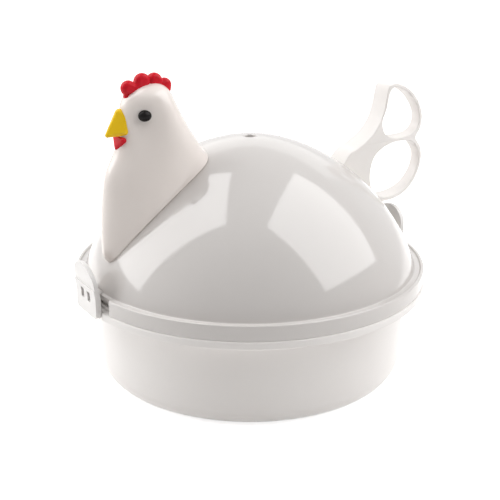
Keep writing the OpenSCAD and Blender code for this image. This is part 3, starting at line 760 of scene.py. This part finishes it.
comb_angles = np.linspace(0, 2 * np.pi, 400, endpoint=False)
swell = 2.0
rings = []
for share in np.linspace(0, 1, 12):
    r = lobe_ring(comb_angles, swell * (1 - math.sin(share * math.pi / 2)))
    y = comb_half * math.cos(share * math.pi / 2) if share < 1 else 0.0
    rings.append(np.stack([head_x + comb_middle[0] + r * np.cos(comb_angles), y + 0 * r,
                           head_z + comb_middle[1] + r * np.sin(comb_angles)], -1))
centre = np.array([head_x + comb_middle[0], comb_half, head_z + comb_middle[1]])
near_face = np.array([centre + 0 * rings[0]] + rings)
far_face = near_face[::-1][1:] * [1, -1, 1]
comb = skin("comb_moulding", np.vstack([near_face, far_face]))
comb_peg_r = 1.2
comb_peg_z = (42, 46)
comb_pegs = [rod(comb_peg_r, *comb_peg_z, moved(head_x + x, 0, head_z)) for x in (-5.5, 3)]
carve(comb, comb_pegs, "UNION")
red = plastic("glossy red plastic", (0.66, 0.008, 0.022), (0.6, 0.006, 0.018), 0.16, 700, 0.3, 1e-5,
              Specular_IOR_Level=0.15)
dress(comb, red, "lid", "red_plastic", "comb")

# Beak and wattle
# The beak is a yellow moulding and the wattle a red one. Both are pushed into the face with a
# peg, the wattle close under the beak.


def directions(rows, columns):
    """Unit vectors all round, in rows from the Z axis down and columns round it."""
    polar = np.linspace(0, np.pi, rows)[:, None]
    turn = np.linspace(0, 2 * np.pi, columns, endpoint=False)
    return np.stack([np.sin(polar) * np.cos(turn), np.sin(polar) * np.sin(turn),
                     np.cos(polar) + 0 * turn], -1)


def drawn_over(name, balls, sharp, peg, peg_r):
    """The smooth skin over a few balls [x, y, z, radius], given from the head's seat.

    The point that faces a direction n is the mean of all c + r*n, weighted by
    exp(sharp*(c.n + r)), so that the balls that reach furthest that way carry it.
    """
    balls = np.array(balls)
    n = directions(90, 140)[..., None, :]
    reach = (balls[:, :3] * n).sum(-1) + balls[:, 3]
    weight = np.exp(sharp * (reach - reach.max(-1, keepdims=True)))
    weight /= weight.sum(-1, keepdims=True)
    points = (weight[..., None] * (balls[:, :3] + balls[:, 3:] * n)).sum(-2)
    piece = skin(name, points + [head_x, 0, head_z])
    lie = moved(head_x + peg[0], 0, head_z + peg[1]) @ Matrix.Rotation(math.pi / 2, 4, "Y")
    peg_reach = (1, 7)
    carve(piece, [rod(peg_r, *peg_reach, lie)], "UNION")
    return piece


beak = drawn_over("beak_moulding",
                  [[-20.7, 0, 27.2, 1], [-15, 0, 35.9, 1.9], [-13.8, 1.8, 34.2, 1.5],
                   [-13.8, -1.8, 34.2, 1.5], [-14, 3, 28.8, 1.8], [-14, -3, 28.8, 1.8]],
                  4, (-16.5, 31.5), 1.8)
yellow = plastic("glossy yellow plastic", (0.97, 0.64, 0.012), (0.92, 0.57, 0.009),
                 0.2, 700, 0.3, 1e-5, Specular_IOR_Level=0.25)
dress(beak, yellow, "lid", "yellow_plastic", "beak")
wattle = drawn_over("wattle_moulding",
                    [[-15.3, 3.8, 25.1, 1.2], [-15.3, -3.8, 25.1, 1.2], [-16.6, 0, 21.6, 1.1],
                     [-12, 0, 24.3, 1.6]], 4, (-15.5, 23.6), 1.1)
dress(wattle, red, "lid", "red_plastic", "wattle")

# Eyes
# Each eye is a polished black plastic stud, a little longer than it is high. Its peg is pushed
# into a hole in the middle of its dish.

black = plastic("polished black plastic", (0.006, 0.005, 0.005), (0.01, 0.008, 0.008),
                0.05, 700, 0.3, 5e-6, Specular_IOR_Level=0.12)
eye_y = 7.35
eye_axes = np.array([2.9, 2.4, 2.4])
for side, node in ((-1, "left_eye"), (1, "right_eye")):
    middle = np.array([head_x + eye_x, side * eye_y, head_z + eye_z])
    eye = skin(f"{node}_stud", directions(40, 64) * eye_axes + middle)
    dress(eye, black, "lid", "black_plastic", node)

# Tail handle
# The tail is a strip handle with two finger loops, one moulding of soft white plastic. Its foot
# follows the dome, and two screws hold it from inside.

# The outline and the loops are points [x, z], counted from the tail's seat on the dome.
tail_half = 6.0
tail_outline = [
    [-15, 4], [-9, 15.4], [-2.7, 18.8], [5.2, 24.1], [10, 30.3], [12.3, 37.3], [13.9, 45.1],
    [16, 46.7], [20.6, 46.7], [28.3, 43], [33.8, 37.3], [37, 30.3], [36.5, 23.6], [33.7, 18.7],
    [37, 13.8], [38.1, 8.2], [36.6, 1.8], [32.4, -4.4], [26.9, -8.3], [20, -10.2],
    [13.7, -10.4], [6, -12], [-3, -8],
]
upper_hole = [
    [11.2, 29.6], [13.3, 35], [15.4, 43.4], [19.5, 45.1], [27, 41.8], [32.3, 36.4], [35.3, 30],
    [34.6, 24.4], [30.8, 21.2], [24.7, 20.3], [18, 20.8], [12.8, 23.8],
]
lower_hole = [
    [4.8, 6.8], [6.8, 12.6], [11, 16], [17.2, 18.2], [24.7, 18.5], [31.3, 17], [35.3, 12.3],
    [36.3, 8.2], [34.9, 2.3], [31, -3.3], [26, -6.6], [19.7, -8.3], [13.8, -8.2], [9.6, -6.6],
    [6.4, -3.6], [4.8, 1],
]


def closed_curve(points, steps, hole):
    """A smooth closed line through points, anticlockwise, or clockwise round a hole."""
    points = np.array(points, float)
    count = len(points)
    rows = np.vstack([points[-1:], points, points[:2]])
    line = between_rows(rows, 1 + np.arange(count * steps) / steps)
    x, z = line.T
    area = (x * np.roll(z, -1) - np.roll(x, -1) * z).sum()
    return line if (area > 0) != hole else line[::-1]


tail_lines = [closed_curve(tail_outline, 10, False), closed_curve(upper_hole, 10, True),
              closed_curve(lower_hole, 8, True)]
tail = slab("tail_moulding", tail_lines, tail_half, 0.5, across(tail_seat_r, 0, tail_seat_z))
# The strip gets thinner outwards: half its width, at distances from the tail's seat.
tail_points = np.empty(3 * len(tail.data.vertices))
tail.data.vertices.foreach_get("co", tail_points)
tail_points = tail_points.reshape(-1, 3)
outward = tail_points[:, 0] / MM - tail_seat_r
tail_points[:, 1] *= np.interp(outward, [0, 15, 38], [tail_half, 5.19, 3]) / tail_half
tail.data.vertices.foreach_set("co", tail_points.ravel())
tail.data.update()
dome_core = rounded(np.vstack([
    [[0, base_h, 0], [dome_r + seat_gap, base_h, 0]], plain(dome_line(0.6, 60, -seat_gap)),
    [[0, apex_z + seat_gap, 0]],
]), 1)
carve(tail, [skin("dome_core", turned(dome_core, 160))])
tail_white = plastic("thin white plastic", (0.88, 0.85, 0.825), (0.87, 0.835, 0.805),
                     0.36, 1100, 0.4, 2e-5)
dress(tail, tail_white, "lid", "head_plastic", "tail_handle")

# Screws
# Four stainless steel screws hold the head and the tail. They are driven from inside the dome,
# before the liner goes in, and keep the shape of their solids.

colour_nodes(steel, "head_screw_front", "head_screw_rear", "tail_screw_upper", "tail_screw_lower")

# Floor, light and camera
# A pale floor and a white surround. Two soft boxes, one on each side, draw the bright panels on the
# dome. The top light and the low side panels soften the shade between them, and the back panel
# brightens the far edges.

floor_half = 3
floor_corners = [(x * floor_half, y * floor_half, 0) for x, y in ((-1, -1), (1, -1), (1, 1), (-1, 1))]
floor_mesh = bpy.data.meshes.new("floor")
floor_mesh.from_pydata(floor_corners, [], [(0, 1, 2, 3)])
floor = bpy.data.objects.new("floor", floor_mesh)
bpy.context.scene.collection.objects.link(floor)


def seen_directly(tree):
    """One for camera, glossy and transmitted rays, and zero for the light on the object."""
    path = link(tree, "ShaderNodeLightPath").outputs
    straight = maths(tree, "MAXIMUM", path["Is Camera Ray"], path["Is Glossy Ray"])
    return maths(tree, "MAXIMUM", straight, path["Is Transmission Ray"])


floor_white = bpy.data.materials.new("pale floor")
floor_white.use_nodes = True
floor_tree = floor_white.node_tree
floor_tree.nodes.remove(floor_tree.nodes["Principled BSDF"])
paint = link(floor_tree, "ShaderNodeBsdfDiffuse", {"Color": (0.85, 0.84, 0.83, 1)})
ground = link(floor_tree, "ShaderNodeTexCoord")
reach = link(floor_tree, "ShaderNodeVectorMath", {0: ground.outputs["Object"]}, operation="LENGTH")
spread = link(floor_tree, "ShaderNodeMapRange", {"Value": reach.outputs["Value"], "From Min": 0.4,
                                                 "From Max": 1.4, "To Min": 0.75, "To Max": 1})
glow = link(floor_tree, "ShaderNodeEmission", {"Color": (1, 1, 1, 1),
                                               "Strength": spread.outputs["Result"]})
black_out = link(floor_tree, "ShaderNodeEmission", {"Strength": 0})
shown = link(floor_tree, "ShaderNodeMixShader", {0: seen_directly(floor_tree),
                                                 1: black_out.outputs[0], 2: glow.outputs[0]})
lit = link(floor_tree, "ShaderNodeAddShader", {0: paint.outputs[0], 1: shown.outputs[0]})
floor_tree.links.new(lit.outputs[0], floor_tree.nodes["Material Output"].inputs["Surface"])
floor_mesh.materials.append(floor_white)

scene = bpy.context.scene
world = bpy.data.worlds.new("studio")
scene.world = world
world.use_nodes = True
sky = world.node_tree
room = link(sky, "ShaderNodeBackground", {"Color": (1, 0.9, 0.86, 1), "Strength": 0.04})
white = link(sky, "ShaderNodeBackground", {"Color": (1, 1, 1, 1), "Strength": 1})
choice = link(sky, "ShaderNodeMixShader", {0: seen_directly(sky), 1: room.outputs[0],
                                           2: white.outputs[0]})
sky.links.new(choice.outputs[0], sky.nodes["World Output"].inputs["Surface"])

view_azimuth = -31
view_elevation = 19.42
view_distance = 0.48
look_at = Vector((0, 0, 0.0545))


def towards(azimuth, elevation):
    """The direction from the object to a place at an azimuth and elevation in degrees."""
    a, e = math.radians(azimuth), math.radians(elevation)
    return Vector((math.sin(a) * math.cos(e), -math.cos(a) * math.cos(e), math.sin(e)))


def soft_light(name, azimuth, elevation, distance, width, height, radiance, roll=0, mirrored=True):
    """A rectangular lamp that faces the object, at an azimuth counted from the camera's.

    Its power is pi * area * radiance, and roll turns it in its own plane. A lamp that isn't
    mirrored lights the plastic, but draws no panel on it.
    """
    lamp = bpy.data.lights.new(name, "AREA")
    lamp.shape = "RECTANGLE"
    lamp.size = width
    lamp.size_y = height
    lamp.energy = math.pi * width * height * radiance
    holder = bpy.data.objects.new(name, lamp)
    scene.collection.objects.link(holder)
    aim = towards(view_azimuth + azimuth, elevation)
    holder.location = look_at + aim * distance
    turn = Matrix.Rotation(math.radians(roll), 3, "Z")
    holder.rotation_euler = (aim.to_track_quat("Z", "Y").to_matrix() @ turn).to_euler()
    holder.visible_camera = False
    holder.visible_glossy = mirrored


soft_light("left soft box", -97, 45, 0.9, 0.7, 1.15, 2.6)
soft_light("right soft box", 84, 47, 0.9, 0.88, 0.9, 2.35, roll=-12)
soft_light("top light", 0, 74, 0.9, 0.9, 0.6, 0.95, mirrored=False)
soft_light("low left panel", -95, 17, 0.9, 0.9, 0.45, 1.5, mirrored=False)
soft_light("low right panel", 95, 17, 0.9, 0.9, 0.45, 1.4, mirrored=False)
soft_light("back panel", 180, 30, 1.1, 1.4, 0.5, 0.5)

eye_point = look_at + towards(view_azimuth, view_elevation) * view_distance
lens = bpy.data.cameras.new("camera")
lens.lens = 74.3
lens.sensor_width = 36
lens.clip_start = 0.01
camera = bpy.data.objects.new("camera", lens)
camera.location = eye_point
camera.rotation_euler = (eye_point - look_at).to_track_quat("Z", "Y").to_euler()
scene.collection.objects.link(camera)
scene.camera = camera
scene.view_settings.view_transform = "Standard"
